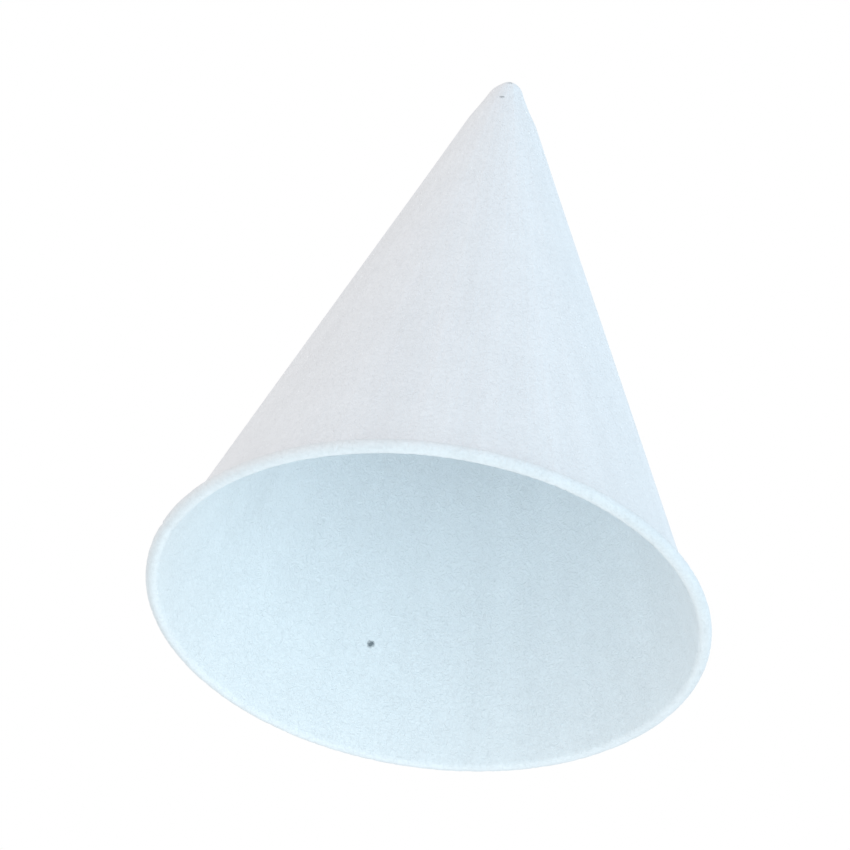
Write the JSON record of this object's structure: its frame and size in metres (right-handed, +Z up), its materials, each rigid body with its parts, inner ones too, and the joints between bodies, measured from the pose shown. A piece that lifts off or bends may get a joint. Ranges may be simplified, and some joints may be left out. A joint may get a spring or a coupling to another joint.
{
  "type": "cone paper cup",
  "caption": "Wound paper cone cup with a lapped side seam, a closed blunt tip and a rolled rim, standing mouth down.",
  "frame": {"origin": "centre of the rim circle, on the surface that the cup stands on, mouth down", "axes": "+Z up along the cone's axis, from the mouth to the tip; the blank's lap is centred on the -Y side"},
  "size_m": [0.0719, 0.072, 0.09],
  "materials": {
    "cup": "matte"
  },
  "bodies": {
    "root": {"cup": "cup"}
  },
  "joints": []
}
